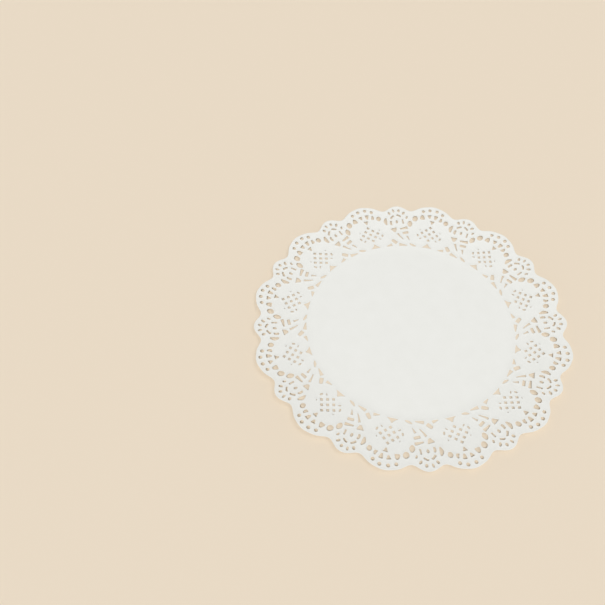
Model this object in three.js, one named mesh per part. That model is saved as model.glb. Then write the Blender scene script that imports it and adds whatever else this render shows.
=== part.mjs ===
// Round lace paper doily: one die-cut sheet with a plain centre, a border of hearts and small
// flowers cut out as holes, and a scalloped rim. Millimetres, +Z up. The origin is the centre
// of the underside, and a heart lies on each of the +X, +Y, -X and -Y axes.
import * as THREE from 'three';

// Driving sizes
const sheetThickness = 1;
const rimMeanRadius = 129.9;
const repeats = 12;
const rimStepsPerRepeat = 20;

// The rim is a circle with waves on it. Together they give a wide scallop over each heart
// and a smaller one over each flower.
const rimWaves = [
  { timesRound: 12, height: 1.97 },
  { timesRound: 24, height: 2.53 },
  { timesRound: 36, height: -1.07 },
  { timesRound: 60, height: 0.25 },
];

// Colour and finish of the paper
const paperColour = '#ecedea';
const paperRoughness = 0.75;

// Each row of a chart is one hole, drawn beside a motif whose axis points along +Y. The hole
// runs from one end to the other: across is the distance to the right of the axis, out the
// distance from the centre of the doily, and wide the hole's width at that end. middleWide is
// its width halfway, and bow is how far its middle lies to the left on the way along it.
const hole = ([across, out, wide], [acrossEnd, outEnd, wideEnd], middleWide, bow = 0) => ({
  start: new THREE.Vector2(across, out),
  startWide: wide,
  end: new THREE.Vector2(acrossEnd, outEnd),
  endWide: wideEnd,
  middleWide,
  bow,
});

// The arch of holes over a heart, and the triangles at its tip and its foot
const heartChart = {
  arch1: hole([-14.6, 120.3, 2.6], [-15.1, 114.4, 3.0], 5.7),
  arch2: hole([-8.8, 122.8, 1.8], [-8.3, 117.9, 4.7], 4.0),
  arch3: hole([-2.6, 124.0, 4.0], [-1.7, 120.4, 1.0], 2.8),
  arch4: hole([3.9, 124.4, 3.7], [3.1, 119.8, 1.4], 3.0),
  arch5: hole([8.7, 122.5, 1.3], [7.6, 118.4, 2.8], 2.6, 0.6),
  arch6: hole([13.5, 120.5, 2.4], [13.3, 115.4, 2.4], 4.9),
  arch7: hole([20.1, 117.0, 1.4], [18.5, 109.3, 1.3], 3.9, -1.1),
  tip: hole([1.1, 118.0, 4.4], [0.9, 114.3, 0.9], 2.5),
  foot: hole([0.5, 92.1, 0.9], [0.5, 87.6, 9.4], 3.4),
};

// The petals of a flower, the stem under it and the border round the plain centre
const flowerChart = {
  arch8: hole([11.3, 115.0, 1.8], [10.2, 108.4, 2.0], 5.3),
  petal1: hole([-6.5, 117.2, 2.2], [-3.3, 120.8, 1.9], 1.7, 0.3),
  petal2: hole([-0.8, 121.7, 1.9], [3.1, 119.4, 1.7], 1.6, 0.4),
  petal3: hole([4.4, 116.7, 1.6], [4.8, 111.8, 1.7], 1.4),
  petal4: hole([-6.3, 115.0, 1.9], [-6.0, 110.3, 1.9], 2.3, -0.5),
  fan: hole([-4.8, 107.0, 6.0], [-3.5, 102.7, 1.6], 4.3, 0.4),
  wedge: hole([1.2, 106.0, 1.5], [8.3, 107.7, 3.1], 2.1),
  bar: hole([3.2, 101.3, 2.5], [8.5, 102.6, 2.6], 2.6),
  longDrop: hole([-1.4, 101.2, 2.2], [3.3, 94.5, 0.8], 1.4, -0.3),
  shortDrop: hole([6.8, 98.1, 2.1], [8.8, 93.6, 0.6], 1.3),
  block: hole([-7.2, 94.1, 2.6], [-3.0, 90.4, 3.2], 3.4),
  border1: hole([-12.5, 86.9, 0.6], [-7.6, 88.9, 3.0], 2.0),
  border2: hole([-1.1, 89.0, 3.2], [6.1, 87.8, 0.7], 2.2),
  border3: hole([8.3, 89.9, 0.9], [13.9, 86.8, 0.9], 2.7, -0.3),
};

function rimRadius(angle) {
  return rimWaves.reduce(
    (radius, wave) => radius + wave.height * Math.cos(wave.timesRound * angle),
    rimMeanRadius
  );
}

function rimOutline() {
  const steps = repeats * rimStepsPerRepeat;
  return Array.from({ length: steps }, (_, step) => {
    const angle = (2 * Math.PI * step) / steps;
    return new THREE.Vector2(Math.cos(angle), Math.sin(angle)).multiplyScalar(rimRadius(angle));
  });
}

// The six corners of a hole: two at each end and two at its middle
function holeCorners({ start, startWide, end, endWide, middleWide, bow }) {
  const along = end.clone().sub(start).normalize();
  const left = new THREE.Vector2(-along.y, along.x);
  const middle = start.clone().lerp(end, 0.5).addScaledVector(left, bow);
  const beside = (point, distance) => point.clone().addScaledVector(left, distance);
  return [
    beside(start, -startWide / 2),
    beside(middle, -middleWide / 2),
    beside(end, -endWide / 2),
    beside(end, endWide / 2),
    beside(middle, middleWide / 2),
    beside(start, startWide / 2),
  ];
}

function lacePattern() {
  const holes = [];
  const doilyCentre = new THREE.Vector2(0, 0);
  const repeatAngle = (2 * Math.PI) / repeats;
  const cutMotif = (chart, turn) => {
    for (const row of Object.values(chart)) {
      const corners = holeCorners(row).map((corner) => corner.rotateAround(doilyCentre, turn));
      holes.push(new THREE.Path(corners));
    }
  };
  for (let repeat = 0; repeat < repeats; repeat += 1) {
    cutMotif(heartChart, -repeat * repeatAngle);
    cutMotif(flowerChart, -(repeat + 0.5) * repeatAngle);
  }
  return holes;
}

function paperSheet() {
  const outline = new THREE.Shape(rimOutline());
  outline.holes = lacePattern();
  const geometry = new THREE.ExtrudeGeometry(outline, { depth: sheetThickness, bevelEnabled: false });
  const paper = new THREE.MeshStandardMaterial({
    color: paperColour,
    roughness: paperRoughness,
    metalness: 0,
  });
  const sheet = new THREE.Mesh(geometry, paper);
  sheet.name = 'doily';
  return sheet;
}

const doily = new THREE.Group();
doily.add(paperSheet());

export default doily;
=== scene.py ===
import math

import bpy
from mathutils import Matrix, Vector, kdtree, noise
from mathutils.geometry import delaunay_2d_cdt


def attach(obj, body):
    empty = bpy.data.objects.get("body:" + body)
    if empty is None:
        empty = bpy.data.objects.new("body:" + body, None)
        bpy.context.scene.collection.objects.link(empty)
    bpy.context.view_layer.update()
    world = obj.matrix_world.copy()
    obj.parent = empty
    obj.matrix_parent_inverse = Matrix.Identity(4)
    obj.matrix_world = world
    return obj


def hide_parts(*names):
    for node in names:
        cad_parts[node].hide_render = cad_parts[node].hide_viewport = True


# A round lace paper doily: one thin sheet, embossed and die-cut in one stroke of the press,
# with a plain centre, a border of hearts and small flowers, and a scalloped rim.
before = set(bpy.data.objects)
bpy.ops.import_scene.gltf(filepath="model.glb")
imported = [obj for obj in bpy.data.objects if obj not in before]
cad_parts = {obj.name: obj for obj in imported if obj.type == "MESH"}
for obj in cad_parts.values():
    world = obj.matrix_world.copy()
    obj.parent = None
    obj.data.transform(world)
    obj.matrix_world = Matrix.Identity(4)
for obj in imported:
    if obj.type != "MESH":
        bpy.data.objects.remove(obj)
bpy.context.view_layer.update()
print("frame loaded")

mm = 0.001


# The pattern

# One row is one hole, in millimetres, beside a motif whose axis points along +Y: how far
# across to the right of the axis, how far out from the centre and how wide, at one end and at
# the other, then how wide at its middle. bow is how far the middle lies to the left on the
# way, and corner how far from each corner its rounding starts.
def hole(start, end, middleWide, bow=0.0, corner=0.4):
    return {"start": start, "end": end, "middleWide": middleWide, "bow": bow, "corner": corner}


# A round or oval hole, from its lower end to its upper one, both half as wide as its middle
def dot(low, high, wide):
    return hole((*low, wide * 0.5), (*high, wide * 0.5), wide, corner=wide)


heartHoles = {
    "arch1": hole((-14.6, 120.3, 2.6), (-15.1, 114.4, 3.0), 5.7, corner=1.6),
    "arch2": hole((-8.8, 122.8, 1.8), (-8.3, 117.9, 4.7), 4.0, corner=0.9),
    "arch3": hole((-2.6, 124.0, 4.0), (-1.7, 120.4, 1.0), 2.8, corner=0.5),
    "arch4": hole((3.9, 124.4, 3.7), (3.1, 119.8, 1.4), 3.0, corner=0.5),
    "arch5": hole((8.7, 122.5, 1.3), (7.6, 118.4, 2.8), 2.6, bow=0.6, corner=0.7),
    "arch6": hole((13.5, 120.5, 2.4), (13.3, 115.4, 2.4), 4.9, corner=1.5),
    "arch7": hole((20.1, 117.0, 1.4), (18.5, 109.3, 1.3), 3.9, bow=-1.1, corner=0.8),
    "tip": hole((1.1, 118.0, 4.4), (0.9, 114.3, 0.9), 2.5),
    "foot": hole((0.5, 92.1, 0.9), (0.5, 87.6, 9.4), 3.4),
    "slit1": hole((-10.0, 101.4, 1.0), (-9.1, 98.7, 1.3), 1.9),
    "slit2": hole((11.2, 100.8, 1.1), (10.2, 98.1, 1.3), 2.0),
    "slit3": hole((-7.6, 96.2, 0.7), (-5.6, 97.8, 0.7), 1.5),
    "slit4": hole((6.6, 97.3, 0.6), (8.3, 95.8, 0.6), 1.2),
    "slit5": hole((-8.8, 106.0, 0.4), (-8.0, 107.3, 0.4), 0.7),
    "slit6": hole((9.5, 106.8, 0.4), (10.3, 105.3, 0.4), 0.8),
    "scallop1": dot((-8.7, 125.1), (-8.7, 128.3), 3.4),
    "scallop2": dot((-2.9, 127.4), (-2.9, 130.8), 3.6),
    "scallop3": dot((3.8, 127.6), (3.8, 131.0), 3.6),
    "scallop4": dot((9.3, 124.7), (9.3, 128.1), 3.5),
}

flowerHoles = {
    "arch8": hole((11.3, 115.0, 1.8), (10.2, 108.4, 2.0), 5.3, corner=1.3),
    "eye": dot((-1.0, 112.2), (-1.0, 115.7), 2.6),
    "petal1": hole((-6.5, 117.2, 2.2), (-3.3, 120.8, 1.9), 1.7, bow=0.3, corner=0.7),
    "petal2": hole((-0.8, 121.7, 1.9), (3.1, 119.4, 1.7), 1.6, bow=0.4, corner=0.7),
    "petal3": hole((4.4, 116.7, 1.6), (4.8, 111.8, 1.7), 1.4, corner=0.6),
    "petal4": hole((-6.3, 115.0, 1.9), (-6.0, 110.3, 1.9), 2.3, bow=-0.5, corner=0.7),
    "petal5": hole((7.9, 117.2, 1.5), (9.0, 120.0, 1.6), 1.8, bow=0.2, corner=0.6),
    "fan": hole((-4.8, 107.0, 6.0), (-3.5, 102.7, 1.6), 4.3, bow=0.4),
    "wedge": hole((1.2, 106.0, 1.5), (8.3, 107.7, 3.1), 2.1, corner=0.6),
    "bar": hole((3.2, 101.3, 2.5), (8.5, 102.6, 2.6), 2.6, corner=0.6),
    "longDrop": hole((-1.4, 101.2, 2.2), (3.3, 94.5, 0.8), 1.4, bow=-0.3),
    "shortDrop": hole((6.8, 98.1, 2.1), (8.8, 93.6, 0.6), 1.3),
    "block": hole((-7.2, 94.1, 2.6), (-3.0, 90.4, 3.2), 3.4, corner=0.5),
    "border1": hole((-12.5, 86.9, 0.6), (-7.6, 88.9, 3.0), 2.0),
    "border2": hole((-1.1, 89.0, 3.2), (6.1, 87.8, 0.7), 2.2),
    "border3": hole((8.3, 89.9, 0.9), (13.9, 86.8, 0.9), 2.7, bow=-0.3),
    "scallop1": dot((-6.6, 121.8), (-8.2, 124.8), 2.8),
    "scallop2": dot((-2.9, 124.4), (-4.0, 128.0), 2.2),
    "scallop3": dot((1.3, 124.6), (1.9, 127.8), 2.8),
    "scallop4": dot((4.6, 121.9), (6.9, 124.9), 2.6),
}

# Nine small squares, standing on their corners, fill each heart
lattice = {
    "centre": Vector((0.6, 103.2)),
    "steps": (Vector((3.35, 3.4)), Vector((-3.45, 3.65))),
    "size": (2.2, 2.45),
    "corner": 0.35,
}

# Rounded corners: the length of their steps in millimetres, and how much of a side one takes.
# A straight side gets points too, none further apart than longest.
rounding = {
    "step": 0.65,
    "fewestSteps": 2,
    "most": 0.46,
    "longest": 1.1,
}

# The rim is a circle with waves on it: a wide scallop over each heart and a smaller one over
# each flower. Radius and heights in millimetres.
rim = {
    "repeats": 12,
    "meanRadius": 129.9,
    "waves": {12: 1.97, 24: 2.53, 36: -1.07, 60: 0.25},
    "stepsPerRepeat": 48,
}


# Each square runs from the middle of one side to the middle of the side across
def latticeHoles():
    long, wide = lattice["size"]
    reach = lattice["steps"][0].normalized() * long / 2
    rows = []
    for i in (-1, 0, 1):
        for j in (-1, 0, 1):
            place = lattice["centre"] + lattice["steps"][0] * i + lattice["steps"][1] * j
            low, high = place - reach, place + reach
            rows.append(hole((*low, wide), (*high, wide), wide, corner=lattice["corner"]))
    return rows


def turned(point, angle):
    return Matrix.Rotation(angle, 2) @ point


# Two corners at each end of a hole and two at its middle, anticlockwise
def holeCorners(row):
    start = Vector(row["start"][:2])
    end = Vector(row["end"][:2])
    along = (end - start).normalized()
    left = Vector((-along.y, along.x))
    middle = (start + end) / 2 + left * row["bow"]
    spots = [(start, row["start"][2]), (middle, row["middleWide"]), (end, row["end"][2])]
    right = [place - left * wide / 2 for place, wide in spots]
    return right + [place + left * wide / 2 for place, wide in reversed(spots)]


# The same loop with more points on its longer sides
def divided(loop, longest):
    points = []
    for start, end in zip(loop, loop[1:] + loop[:1]):
        count = max(1, math.ceil((end - start).length / longest))
        points += [start.lerp(end, i / count) for i in range(count)]
    return points


# Each corner becomes a short curve; the two at the middle are rounded all along, so that the
# sides of the hole run smoothly
def holeLoop(row):
    corners = holeCorners(row)
    loop = []
    for i, corner in enumerate(corners):
        ends = []
        for other in (corners[i - 1], corners[(i + 1) % len(corners)]):
            side = other - corner
            most = rounding["most"]
            share = most if i in (1, 4) else min(most, row["corner"] / side.length)
            ends.append(corner + side * share)
        steps = max(rounding["fewestSteps"], round((ends[1] - ends[0]).length / rounding["step"]))
        for step in range(steps + 1):
            t = step / steps
            loop.append(ends[0] * (1 - t) ** 2 + corner * 2 * t * (1 - t) + ends[1] * t ** 2)
    return divided(loop, rounding["longest"])


# The die and the paper are never quite true: shifts the pattern a little, here and there
def strayed(point):
    for reach, length in sheet["warp"]:
        where = Vector((point.x / length, point.y / length, sheet["warpSeed"]))
        stray = noise.noise_vector(where)
        point = point + Vector((stray.x, stray.y)) * reach
    return point


def laceLoops():
    hearts = [holeLoop(row) for row in [*heartHoles.values(), *latticeHoles()]]
    flowers = [holeLoop(row) for row in flowerHoles.values()]
    repeatAngle = 2 * math.pi / rim["repeats"]
    loops = []
    for repeat in range(rim["repeats"]):
        for motif, offset in ((hearts, 0.0), (flowers, 0.5)):
            angle = -(repeat + offset) * repeatAngle
            loops += [[strayed(turned(point, angle)) for point in loop] for loop in motif]
    return loops


def rimRadius(angle):
    waves = rim["waves"].items()
    return rim["meanRadius"] + sum(high * math.cos(times * angle) for times, high in waves)


def rimLoop(inset=0.0):
    steps = rim["repeats"] * rim["stepsPerRepeat"]
    angles = [2 * math.pi * step / steps for step in range(steps)]
    return [turned(Vector((rimRadius(angle) - inset, 0)), angle) for angle in angles]


# The sheet

# Millimetres, and sharpAngle in degrees. The lace is pressed up a little from the plain centre,
# and a fine ridge, like a cord, runs round each hole and along the scallops. The seeds choose
# where the noise is read.
sheet = {
    "thickness": 0.12,
    "plainRadius": 84.0,
    "laceRadius": 85.5,
    "laceHeight": 0.15,
    "ridgeHeight": 0.14,
    "ridgeAt": 0.3,
    "ridgeEnd": 0.75,
    "rimRidgeFrom": 0.3,
    "rimRidgeAt": 0.7,
    "rimRidgeEnd": 1.2,
    "warp": ((0.25, 24.0), (0.07, 2.5)),  # how far, and over what length
    "warpSeed": 7.3,
    "noiseSeed": 5,
    "rimRadius": 133.6,
    "liftTo": 102.0,
    "borderLift": 0.85,
    "rimLift": 3.4,
    "liftWaves": ((2, 0.14, 0.7), (3, 0.1, 2.1), (7, 0.05, 4.0)),  # times round, share, phase
    "cockleHeight": 0.35,
    "cockleLength": 70.0,
    "cockleSeed": Vector((3.1, 5.7, 0.4)),
    "sharpAngle": 50.0,
}

# noise_vector starts from the clock unless it is given a seed
noise.seed_set(sheet["noiseSeed"])

# How closely the sheet's points lie, in millimetres
meshing = {
    "edgeStep": 0.2,
    "ringStep": 1.5,
    "laceGrid": 2.2,
    "plainGrid": 4.4,
    "gridClearance": 1.2,
    "lineClearance": 0.3,
    "clearShare": 0.8,  # of its own distance that a point beside an edge keeps from all edges
    "closest": 0.25,
}


def smooth(low, high, value):
    share = min(max((value - low) / (high - low), 0.0), 1.0)
    return share * share * (3 - 2 * share)


# Points along all cut edges, close together, to measure distances from
def edgeTree(loops):
    points = [point for loop in loops for point in divided(loop, meshing["edgeStep"])]
    tree = kdtree.KDTree(len(points))
    for i, point in enumerate(points):
        tree.insert((point.x, point.y, 0), i)
    tree.balance()
    return tree


def distanceTo(tree, point):
    return tree.find((point.x, point.y, 0))[2]


def ridge(distance, start, crest, end):
    return smooth(start, crest, distance) * (1 - smooth(crest, end, distance))


# The border stands a little off the table and curls up to the scallops, not quite evenly round
def liftAt(point):
    border = smooth(sheet["plainRadius"], sheet["liftTo"], point.length)
    curl = max(0.0, (point.length - sheet["liftTo"]) / (sheet["rimRadius"] - sheet["liftTo"]))
    angle = math.atan2(point.y, point.x)
    waves = sheet["liftWaves"]
    uneven = sum(part * math.sin(times * angle + phase) for times, part, phase in waves)
    return (1 + uneven) * (sheet["borderLift"] * border + sheet["rimLift"] * curl)


# The sheet is never quite flat: long shallow waves
def cockleAt(point):
    place = Vector((point.x, point.y, 0)) / sheet["cockleLength"]
    return sheet["cockleHeight"] * (0.5 + 0.5 * noise.noise(place + sheet["cockleSeed"]))


def heightAt(point, holes, edge):
    toHole = distanceTo(holes, point)
    toRim = distanceTo(edge, point)
    ridges = max(
        ridge(toHole, 0, sheet["ridgeAt"], sheet["ridgeEnd"]),
        ridge(toRim, sheet["rimRidgeFrom"], sheet["rimRidgeAt"], sheet["rimRidgeEnd"]),
    )
    inLace = smooth(sheet["plainRadius"], sheet["laceRadius"], point.length)
    emboss = inLace * (sheet["laceHeight"] + sheet["ridgeHeight"] * ridges)
    return emboss + liftAt(point) + cockleAt(point)


# A triangular grid over the ring between two radii
def gridPoints(step, inner, outer):
    rowHeight = step * math.sqrt(0.75)
    rows = math.ceil(outer / rowHeight)
    points = []
    for row in range(-rows, rows + 1):
        for column in range(-rows, rows + 1):
            place = Vector(((column + 0.5 * (row % 2)) * step, row * rowHeight))
            if inner < place.length < outer:
                points.append(place)
    return points


def ringPoints(radius):
    count = round(2 * math.pi * radius / meshing["ringStep"])
    return [turned(Vector((radius, 0)), 2 * math.pi * i / count) for i in range(count)]


# Points beside a hole, at an even distance from its edge
def besideHole(loop, distance):
    points = []
    for i, point in enumerate(loop):
        tangent = (loop[(i + 1) % len(loop)] - loop[i - 1]).normalized()
        points.append(point + Vector((tangent.y, -tangent.x)) * distance)
    return points


# Points inside the sheet, where its surface bends: beside each hole, along the rim, round the
# plain centre, and a grid. Those too close to a cut edge or to each other are left out.
def freePoints(loops, holes, edge):
    wanted = []
    for distance in (sheet["ridgeAt"], sheet["ridgeEnd"]):
        clearance = distance * meshing["clearShare"]
        for loop in loops:
            wanted += [(point, clearance) for point in besideHole(loop, distance)]
    for inset in (sheet["rimRidgeFrom"], sheet["rimRidgeAt"], sheet["rimRidgeEnd"]):
        wanted += [(point, inset * meshing["clearShare"]) for point in rimLoop(inset)]
    for radius in (sheet["plainRadius"], sheet["laceRadius"]):
        wanted += [(point, meshing["lineClearance"]) for point in ringPoints(radius)]
    grids = gridPoints(meshing["laceGrid"], sheet["laceRadius"], sheet["rimRadius"])
    grids += gridPoints(meshing["plainGrid"], 0, sheet["plainRadius"] - meshing["laceGrid"])
    wanted += [(point, meshing["gridClearance"]) for point in grids]
    taken = set()
    kept = []
    for point, clearance in wanted:
        cell = (round(point.x / meshing["closest"]), round(point.y / meshing["closest"]))
        outside = point.length > rimRadius(math.atan2(point.y, point.x))
        cramped = min(distanceTo(holes, point), distanceTo(edge, point)) < clearance
        if not (cell in taken or outside or cramped):
            taken.add(cell)
            kept.append(point)
    return kept


def paperSheet():
    loops = laceLoops()
    outline = rimLoop()
    holes = edgeTree(loops)
    edge = edgeTree([outline])
    points = list(outline)
    faces = [list(range(len(outline)))]
    for loop in loops:
        faces.append(list(range(len(points), len(points) + len(loop))))
        points += loop
    points += freePoints(loops, holes, edge)
    print("points of the sheet:", len(points))
    # a triangle that lies in the rim's outline alone is paper, one in a hole's too is cut out
    insideOutlines = 1
    tolerance = 1e-5
    flat, _, triangles, _, _, inside = delaunay_2d_cdt(
        points, [], faces, insideOutlines, tolerance)
    uncut = [tri for tri, sources in zip(triangles, inside) if sources == [0]]
    used = sorted({i for tri in uncut for i in tri})
    place = {old: new for new, old in enumerate(used)}
    verts = []
    for i in used:
        height = heightAt(flat[i], holes, edge)
        verts.append(Vector((flat[i].x, flat[i].y, height)) * mm)
    lowest = min(vert.z for vert in verts)
    for vert in verts:
        vert.z -= lowest
    mesh = bpy.data.meshes.new("lacePaper")
    mesh.from_pydata(verts, [], [[place[i] for i in tri] for tri in uncut])
    mesh.update()
    doily = bpy.data.objects.new("lacePaper", mesh)
    bpy.context.collection.objects.link(doily)
    return doily


def selectOnly(piece):
    bpy.ops.object.select_all(action="DESELECT")
    piece.select_set(True)
    bpy.context.view_layer.objects.active = piece


doily = paperSheet()
selectOnly(doily)
solidify = doily.modifiers.new("thickness", "SOLIDIFY")
solidify.thickness = sheet["thickness"] * mm
solidify.offset = 1
bpy.ops.object.modifier_apply(modifier="thickness")
bpy.ops.object.shade_smooth_by_angle(angle=math.radians(sheet["sharpAngle"]))
print("sheet made, triangles:", sum(len(face.vertices) - 2 for face in doily.data.polygons))


# Finishes

def linear(hexColour):
    channels = [int(hexColour[i:i + 2], 16) / 255 for i in (1, 3, 5)]
    return (*[c / 12.92 if c <= 0.04045 else ((c + 0.055) / 1.055) ** 2.4 for c in channels], 1)


# Adds a node with its settings, and links its inputs, each given as a value or a socket
def addNode(tree, kind, inputs=None, **settings):
    node = tree.nodes.new(kind)
    for name, value in settings.items():
        setattr(node, name, value)
    for name, value in (inputs or {}).items():
        if isinstance(value, bpy.types.NodeSocket):
            tree.links.new(value, node.inputs[name])
        else:
            node.inputs[name].default_value = value
    return node


paper = {
    "bright": "#eff0ed",
    "dull": "#eaebe7",
    "roughness": 0.8,
    "ior": 1.47,
    "cloudSize": 14 * mm,
    "fibreSize": 0.45 * mm,
    "fibreDepth": 0.05 * mm,
    "threadPitch": 0.8 * mm,
    "threadRadius": 110 * mm,
    "threadDepth": 0.024 * mm,
}


# The lace between the holes is pressed with a fine net, in rows round the doily and rays across
# them, as if it were woven. Its threads are drawn coarser than the real ones, so that they show.
def wovenGround(tree, place):
    parts = addNode(tree, "ShaderNodeSeparateXYZ", {"Vector": place})
    angle = addNode(tree, "ShaderNodeMath",
                    {0: parts.outputs["Y"], 1: parts.outputs["X"]}, operation="ARCTAN2")
    radius = addNode(tree, "ShaderNodeVectorMath", {0: place}, operation="LENGTH")
    rays = round(2 * math.pi * paper["threadRadius"] / paper["threadPitch"])
    crossings = []
    for across, times in ((angle.outputs[0], rays),
                          (radius.outputs["Value"], 2 * math.pi / paper["threadPitch"])):
        turns = addNode(tree, "ShaderNodeMath", {0: across, 1: times}, operation="MULTIPLY")
        wave = addNode(tree, "ShaderNodeMath", {0: turns.outputs[0]}, operation="SINE")
        crossings.append(wave.outputs[0])
    net = addNode(tree, "ShaderNodeMath",
                  {0: crossings[0], 1: crossings[1]}, operation="MULTIPLY")
    inLace = addNode(tree, "ShaderNodeMapRange", {
        "Value": radius.outputs["Value"],
        "From Min": sheet["plainRadius"] * mm,
        "From Max": sheet["laceRadius"] * mm,
    })
    ground = addNode(tree, "ShaderNodeMath",
                     {0: net.outputs[0], 1: inLace.outputs["Result"]}, operation="MULTIPLY")
    return ground.outputs[0]


# Bleached tissue-weight paper, pressed between embossing dies: matt, a little cloudy where the
# fibres lie thicker, with a faint fibre grain drawn coarser than the real one so that it shows
def bleachedPaper():
    material = bpy.data.materials.new("bleachedPaper")
    material.use_nodes = True
    tree = material.node_tree
    tree.nodes.clear()
    place = addNode(tree, "ShaderNodeTexCoord").outputs["Object"]
    clouds = addNode(tree, "ShaderNodeTexNoise",
                     {"Vector": place, "Scale": 1 / paper["cloudSize"], "Detail": 5.0})
    tone = addNode(tree, "ShaderNodeMix", {
        "Factor": clouds.outputs["Fac"],
        "A": linear(paper["dull"]),
        "B": linear(paper["bright"]),
    }, data_type="RGBA")
    fibres = addNode(tree, "ShaderNodeTexNoise",
                     {"Vector": place, "Scale": 1 / paper["fibreSize"], "Detail": 3.0})
    grain = addNode(tree, "ShaderNodeBump", {
        "Height": fibres.outputs["Fac"],
        "Distance": paper["fibreDepth"],
        "Strength": 1.0,
    })
    emboss = addNode(tree, "ShaderNodeBump", {
        "Height": wovenGround(tree, place),
        "Distance": paper["threadDepth"],
        "Strength": 1.0,
        "Normal": grain.outputs["Normal"],
    })
    surface = addNode(tree, "ShaderNodeBsdfPrincipled", {
        "Base Color": tone.outputs["Result"],
        "Roughness": paper["roughness"],
        "IOR": paper["ior"],
        "Normal": emboss.outputs["Normal"],
    })
    addNode(tree, "ShaderNodeOutputMaterial", {"Surface": surface.outputs["BSDF"]})
    return material


doily.data.materials.append(bleachedPaper())
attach(doily, "root")
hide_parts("doily")
print("paper finished")


# The studio

studio = {
    "floorColour": "#eadcc8",
    "floorRoughness": 0.9,
    "floorSize": 60.0,
    "wallColour": "#f4f1ec",
    "wallStrength": 0.88,
    "wallTop": 0.5,
    "ceilingStrength": 0.34,
}


def plainFloor():
    bpy.ops.object.select_all(action="DESELECT")
    bpy.ops.mesh.primitive_plane_add(size=studio["floorSize"], location=(0, 0, 0))
    floor = bpy.context.object
    floor.name = "floor"
    material = bpy.data.materials.new("paintedBoard")
    material.use_nodes = True
    shader = material.node_tree.nodes["Principled BSDF"]
    shader.inputs["Base Color"].default_value = linear(studio["floorColour"])
    shader.inputs["Roughness"].default_value = studio["floorRoughness"]
    floor.data.materials.append(material)
    return floor


plainFloor()


# A plain room: pale walls, and a dimmer ceiling, so that the lamps give the shading
def plainRoom():
    world = bpy.data.worlds.new("plainRoom")
    world.use_nodes = True
    tree = world.node_tree
    tree.nodes.clear()
    towards = addNode(tree, "ShaderNodeTexCoord").outputs["Generated"]
    parts = addNode(tree, "ShaderNodeSeparateXYZ", {"Vector": towards})
    strength = addNode(tree, "ShaderNodeMapRange", {
        "Value": parts.outputs["Z"],
        "From Min": 0.0,
        "From Max": studio["wallTop"],
        "To Min": studio["wallStrength"],
        "To Max": studio["ceilingStrength"],
    }, interpolation_type="SMOOTHSTEP")
    light = addNode(tree, "ShaderNodeBackground", {
        "Color": linear(studio["wallColour"]),
        "Strength": strength.outputs["Result"],
    })
    addNode(tree, "ShaderNodeOutputWorld", {"Surface": light.outputs["Background"]})
    return world


bpy.context.scene.world = plainRoom()

# Soft lights that reach the whole floor evenly: a wide key from the right, and a narrower fill
# from behind the camera, which shines down into the holes. softness is how wide a lamp looks.
lights = {
    "key": {"azimuth": 85, "elevation": 64, "softness": 30, "strength": 0.45},
    "fill": {"azimuth": -2, "elevation": 56, "softness": 10, "strength": 1.95},
}


# A point seen from the doily: azimuth 0 is towards -Y and 90 towards +X, in degrees
def direction(azimuth, elevation):
    around, up = math.radians(azimuth), math.radians(elevation)
    flat = math.cos(up)
    return Vector((math.sin(around) * flat, -math.cos(around) * flat, math.sin(up)))


for name, light in lights.items():
    towards = direction(light["azimuth"], light["elevation"])
    bpy.ops.object.light_add(type="SUN", location=towards)
    lamp = bpy.context.object
    lamp.name = name
    lamp.data.angle = math.radians(light["softness"])
    lamp.data.energy = light["strength"]
    lamp.rotation_euler = (-towards).to_track_quat("-Z", "Y").to_euler()

# The camera looks at a spot on the table beside the doily
view = {
    "aim": Vector((-0.0939, 0.0026, 0)),
    "azimuth": 11.49,
    "elevation": 54.9,
    "roll": 2.15,
    "distance": 0.7114,
    "lens": 49.57,
    "nearest": 0.01,
}
back = direction(view["azimuth"], view["elevation"])
bpy.ops.object.camera_add(location=view["aim"] + back * view["distance"])
camera = bpy.context.object
camera.data.lens = view["lens"]
camera.data.clip_start = view["nearest"]
upright = (-back).to_track_quat("-Z", "Y").to_matrix()
roll = Matrix.Rotation(math.radians(view["roll"]), 3, "Z")
camera.rotation_euler = (upright @ roll).to_euler()
bpy.context.scene.camera = camera
bpy.context.scene.view_settings.view_transform = "Standard"
print("studio ready")
